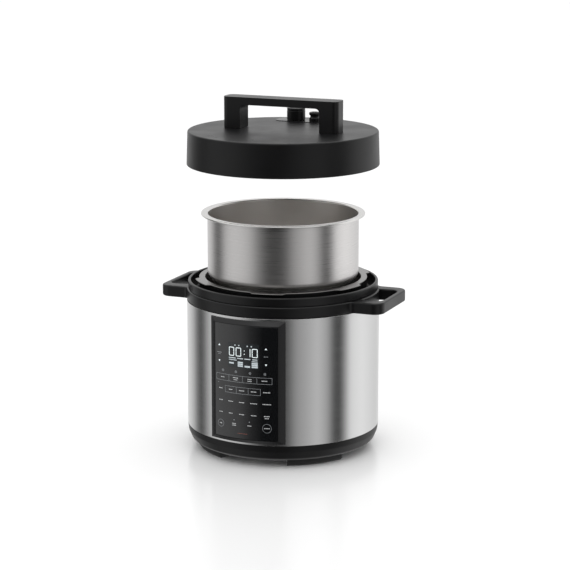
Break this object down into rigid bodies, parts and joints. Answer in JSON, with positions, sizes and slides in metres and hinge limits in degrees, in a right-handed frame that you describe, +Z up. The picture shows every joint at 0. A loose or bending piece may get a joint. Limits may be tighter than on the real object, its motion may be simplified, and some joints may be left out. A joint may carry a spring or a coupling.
{
  "type": "electric pressure cooker",
  "caption": "Countertop electric pressure cooker with a lift-out steel pot, a twist-lock lid with a bridge handle and steam valve, loop carrying handles and a curved touch panel.",
  "frame": {"origin": "on the table, under the middle of the cooker, level with the undersides of the feet", "axes": "+Z up through the pot's axis, -Y out of the control panel, +X towards the right-hand carrying handle"},
  "size_m": [0.345, 0.2922, 0.5105],
  "materials": {
    "anti_block_shield": "bright stainless steel",
    "base_pan": "satin black moulded plastic",
    "base_screw_1": "bright stainless steel",
    "base_screw_2": "bright stainless steel",
    "base_screw_3": "bright stainless steel",
    "base_screw_4": "bright stainless steel",
    "condensate_cup": "clear moulded plastic",
    "control_board": "green solder mask on fibreglass",
    "cup_holder": "satin black moulded plastic",
    "diaphragm_post_1": "bright stainless steel",
    "diaphragm_post_2": "bright stainless steel",
    "diaphragm_post_3": "bright stainless steel",
    "display_module": "liquid crystal module in a dark frame",
    "filter_capacitor": "gloss black",
    "float_cap": "translucent silicone rubber",
    "float_guard": "satin black moulded plastic",
    "float_pin": "bright stainless steel",
    "foot_back_left": "matt black rubber",
    "foot_back_right": "matt black rubber",
    "foot_front_left": "matt black rubber",
    "foot_front_right": "matt black rubber",
    "handle_band": "satin black moulded plastic",
    "handle_screw_left": "bright stainless steel",
    "handle_screw_right": "bright stainless steel",
    "heater_wire_live": "white insulation",
    "heater_wire_neutral": "white insulation",
    "heating_element": "cast or turned aluminium",
    "heating_plate": "cast or turned aluminium",
    "inner_pot": "drawn stainless steel, satin outside",
    "lid_cover": "satin black moulded plastic",
    "lid_handle": "satin black moulded plastic",
    "lid_pan": "plain pressed stainless sheet",
    "liner": "plain pressed stainless sheet",
    "lug_ring": "bright stainless steel",
    "outer_shell": "vertically brushed stainless sheet",
    "pan_screw_1": "bright stainless steel",
    "pan_screw_2": "bright stainless steel",
    "pan_screw_3": "bright stainless steel",
    "panel_frame": "gloss black",
    "panel_glass": "gloss black",
    "power_board": "green solder mask on fibreglass",
    "power_inlet": "satin black moulded plastic",
    "power_relay": "blue moulded case",
    "pressure_diaphragm": "plain pressed stainless sheet",
    "pressure_switch": "gloss black",
    "ribbon_cable": "white insulation",
    "ring_rack": "bright stainless steel",
    "sealing_ring": "translucent silicone rubber",
    "sensor_button": "cast or turned aluminium",
    "sensor_housing": "cast or turned aluminium",
    "sensor_spring": "bright stainless steel",
    "steam_pipe": "bright stainless steel",
    "steam_valve_knob": "satin black moulded plastic",
    "switch_bracket": "plain pressed stainless sheet",
    "thermal_fuse": "white insulation",
    "top_collar": "satin black moulded plastic",
    "transformer": "satin black moulded plastic"
  },
  "bodies": {
    "base": {"base_pan": "base_pan", "base_screw_1": "base_screw_1", "base_screw_2": "base_screw_2", "base_screw_3": "base_screw_3", "base_screw_4": "base_screw_4", "control_board": "control_board", "cup_holder": "cup_holder", "diaphragm_post_1": "diaphragm_post_1", "diaphragm_post_2": "diaphragm_post_2", "diaphragm_post_3": "diaphragm_post_3", "display_module": "display_module", "filter_capacitor": "filter_capacitor", "foot_back_left": "foot_back_left", "foot_back_right": "foot_back_right", "foot_front_left": "foot_front_left", "foot_front_right": "foot_front_right", "handle_band": "handle_band", "heater_wire_live": "heater_wire_live", "heater_wire_neutral": "heater_wire_neutral", "heating_element": "heating_element", "heating_plate": "heating_plate", "liner": "liner", "lug_ring": "lug_ring", "outer_shell": "outer_shell", "panel_frame": "panel_frame", "panel_glass": "panel_glass", "power_board": "power_board", "power_inlet": "power_inlet", "power_relay": "power_relay", "pressure_diaphragm": "pressure_diaphragm", "pressure_switch": "pressure_switch", "ribbon_cable": "ribbon_cable", "sensor_housing": "sensor_housing", "sensor_spring": "sensor_spring", "switch_bracket": "switch_bracket", "thermal_fuse": "thermal_fuse", "top_collar": "top_collar", "transformer": "transformer"},
    "pot": {"inner_pot": "inner_pot"},
    "seal": {"sealing_ring": "sealing_ring", "ring_rack": "ring_rack"},
    "lid": {"lid_cover": "lid_cover", "lid_handle": "lid_handle", "handle_screw_left": "handle_screw_left", "handle_screw_right": "handle_screw_right", "lid_pan": "lid_pan", "pan_screw_1": "pan_screw_1", "pan_screw_2": "pan_screw_2", "pan_screw_3": "pan_screw_3", "steam_pipe": "steam_pipe", "anti_block_shield": "anti_block_shield", "float_guard": "float_guard"},
    "steam_valve": {"steam_valve_knob": "steam_valve_knob"},
    "float_valve": {"float_pin": "float_pin", "float_cap": "float_cap"},
    "sensor": {"sensor_button": "sensor_button"},
    "cup": {"condensate_cup": "condensate_cup"}
  },
  "joints": [
    {"name": "pot_lift", "type": "slide", "parent": "base", "child": "pot", "axis": [0, 0, 1], "range_m": [-0.0908, 0]},
    {"name": "lid_lift", "type": "slide", "parent": "pot", "child": "seal", "axis": [0, 0, 1], "range_m": [-0.0771, 0]},
    {"name": "lid_turn", "type": "hinge", "parent": "seal", "child": "lid", "pos_m": [0, 0, 0.44], "axis": [0, 0, 1], "range_deg": [0, 30]},
    {"name": "steam_valve_turn", "type": "hinge", "parent": "lid", "child": "steam_valve", "pos_m": [-0.02, 0.099, 0.475], "axis": [0, 0, 1], "range_deg": [-40, 0]},
    {"name": "float_valve_rise", "type": "slide", "parent": "lid", "child": "float_valve", "axis": [0, 0, 1], "range_m": [0, 0.005]},
    {"name": "sensor_button_press", "type": "slide", "parent": "base", "child": "sensor", "axis": [0, 0, 1], "range_m": [-0.002, 0], "stiffness_N_per_m": 300, "springref_m": 0.002, "deforming": ["sensor_spring"]},
    {"name": "cup_slide", "type": "slide", "parent": "base", "child": "cup", "axis": [0, 1, 0], "range_m": [0, 0.04]}
  ]
}
